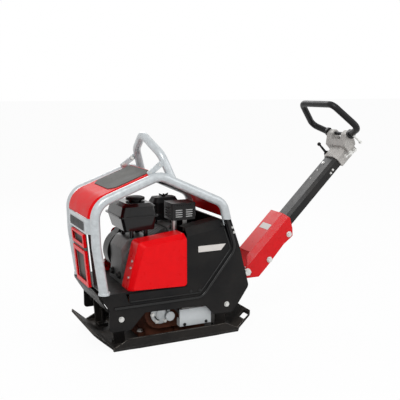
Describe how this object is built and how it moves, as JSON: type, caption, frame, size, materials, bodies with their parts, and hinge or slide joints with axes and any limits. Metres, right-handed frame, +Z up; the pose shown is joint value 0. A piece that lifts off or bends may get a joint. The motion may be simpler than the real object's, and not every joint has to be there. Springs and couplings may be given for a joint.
{
  "type": "plate compactor",
  "caption": "Reversible vibratory plate compactor with a bent-up steel plate, tube frame, small petrol engine, belt-driven exciter and a tilting drawbar with a loop handle.",
  "frame": {"origin": "on the ground under the middle of the base plate", "axes": "+X towards the operator handle, -Y towards the belt side, +Z up"},
  "size_m": [1.3585, 0.408, 0.9795],
  "materials": {
    "plate_black": "satin black paint, worn to steel at the sole and lips",
    "frame_silver": "silver-grey powder coat, semi gloss",
    "console_black": "satin black powder coat",
    "cover_red": "bright red gloss paint",
    "hood_red": "bright red gloss paint",
    "hood_grey": "dark grey textured mat",
    "rubber_black": "moulded black rubber",
    "bead_black": "glossy black edge bead",
    "zinc": "zinc plated",
    "exciter_brown": "red-brown primer on cast iron, dusty",
    "cast_silver": "machined and sand cast aluminium",
    "guard_silver": "silver-grey paint",
    "steel": "turned steel",
    "engine_alu": "sand cast aluminium",
    "engine_black": "semi gloss black paint",
    "tank_black": "gloss black tank paint",
    "plastic_black": "moulded black plastic",
    "belt": "V-belt rubber",
    "screen_grey": "grey dusty screen",
    "head_grey": "warm grey painted casting",
    "bar_black": "satin black powder coat",
    "bracket_red": "red paint",
    "grip_black": "black dipped grip coat on steel tube",
    "switch_red": "red plastic"
  },
  "bodies": {
    "chassis": {"air_cleaner": "plastic_black", "bail_struts": "frame_silver", "base_plate": "plate_black", "belt_cover_front": "cover_red", "belt_cover_rear": "console_black", "buffer_brackets": "plate_black", "carburettor": "engine_alu", "console_side_far": "console_black", "console_side_near": "console_black", "cover_screws": "zinc", "cylinder_head": "engine_alu", "drawbar_stop": "rubber_black", "edge_beads": "bead_black", "engine_crankcase": "engine_alu", "engine_cylinder": "engine_alu", "engine_deck": "console_black", "exciter_bearings": "steel", "exciter_end_covers": "cast_silver", "exciter_housing": "exciter_brown", "frame_bolts": "zinc", "front_band": "frame_silver", "front_cross_member": "console_black", "front_hood": "hood_red", "front_wings": "console_black", "fuel_tank": "tank_black", "grille_frames": "cover_red", "grille_screen": "screen_grey", "hood_top_panel": "hood_grey", "lifting_bail": "frame_silver", "lower_belt_guard": "guard_silver", "mounting_bolts": "zinc", "muffler": "steel", "muffler_guard": "engine_black", "oil_plugs": "plastic_black", "rear_cross_member": "console_black", "rear_hood": "hood_red", "rear_hood_frame": "console_black", "recoil_housing": "engine_black", "rubber_buffers": "rubber_black", "starter_side_cover": "cover_red", "tube_frame_far": "frame_silver", "tube_frame_near": "frame_silver", "v_belt": "belt"},
    "crank": {"crankshaft": "steel", "clutch_drum": "steel", "flywheel": "engine_alu"},
    "eccentric_drive": {"eccentric_shaft_drive": "steel", "exciter_pulley": "steel"},
    "eccentric_driven": {"eccentric_shaft_driven": "steel"},
    "starter": {"starter_grip": "plastic_black"},
    "tank_cap": {"fuel_cap": "plastic_black"},
    "choke": {"choke_lever": "plastic_black"},
    "fuel_valve": {"fuel_valve_lever": "plastic_black"},
    "ignition": {"engine_switch": "switch_red"},
    "drawbar": {"drawbar_bracket": "bracket_red", "drawbar_beam": "bar_black", "drawbar_bolts": "zinc", "handle_head": "head_grey"},
    "travel_loop": {"loop_handle": "grip_black"},
    "throttle": {"throttle_lever": "plastic_black"}
  },
  "joints": [
    {"name": "crank_spin", "type": "hinge", "parent": "chassis", "child": "crank", "pos_m": [-0.12, 0, 0.341], "axis": [0, 1, 0], "continuous": true},
    {"name": "eccentric_drive_spin", "type": "hinge", "parent": "chassis", "child": "eccentric_drive", "pos_m": [0.078, 0, 0.108], "axis": [0, 1, 0], "continuous": true},
    {"name": "eccentric_driven_spin", "type": "hinge", "parent": "chassis", "child": "eccentric_driven", "pos_m": [-0.054, 0, 0.108], "axis": [0, 1, 0], "continuous": true},
    {"name": "starter_pull", "type": "slide", "parent": "chassis", "child": "starter", "axis": [0, 1, 0], "range_m": [0, 0.5], "stiffness_N_per_m": 20, "springref_m": -0.1},
    {"name": "tank_cap_turn", "type": "hinge", "parent": "chassis", "child": "tank_cap", "pos_m": [-0.111, 0, 0.58], "axis": [0, 0, 1], "range_deg": [0, 90]},
    {"name": "choke_turn", "type": "hinge", "parent": "chassis", "child": "choke", "pos_m": [0.052, 0.1215, 0.448], "axis": [0, 1, 0], "range_deg": [0, 50]},
    {"name": "fuel_valve_turn", "type": "hinge", "parent": "chassis", "child": "fuel_valve", "pos_m": [0.052, 0.109, 0.412], "axis": [0, 1, 0], "range_deg": [0, 90]},
    {"name": "ignition_turn", "type": "hinge", "parent": "chassis", "child": "ignition", "pos_m": [-0.02, 0.14, 0.425], "axis": [0, 1, 0], "range_deg": [0, 60]},
    {"name": "drawbar_tilt", "type": "hinge", "parent": "chassis", "child": "drawbar", "pos_m": [0.39021, 0, 0.222], "axis": [0, -1, 0], "range_deg": [0, 46]},
    {"name": "travel_shift", "type": "hinge", "parent": "drawbar", "child": "travel_loop", "pos_m": [0.93217, 0, 0.82328], "axis": [0, 1, 0], "range_deg": [-20, 20]},
    {"name": "throttle_turn", "type": "hinge", "parent": "drawbar", "child": "throttle", "pos_m": [0.9009, 0, 0.72385], "axis": [0, 1, 0], "range_deg": [-5, 40]}
  ],
  "couplings": [
    {"joint": "eccentric_drive_spin", "follows": "crank_spin", "ratio": 1.2169},
    {"joint": "eccentric_driven_spin", "follows": "crank_spin", "ratio": -1.2169}
  ]
}
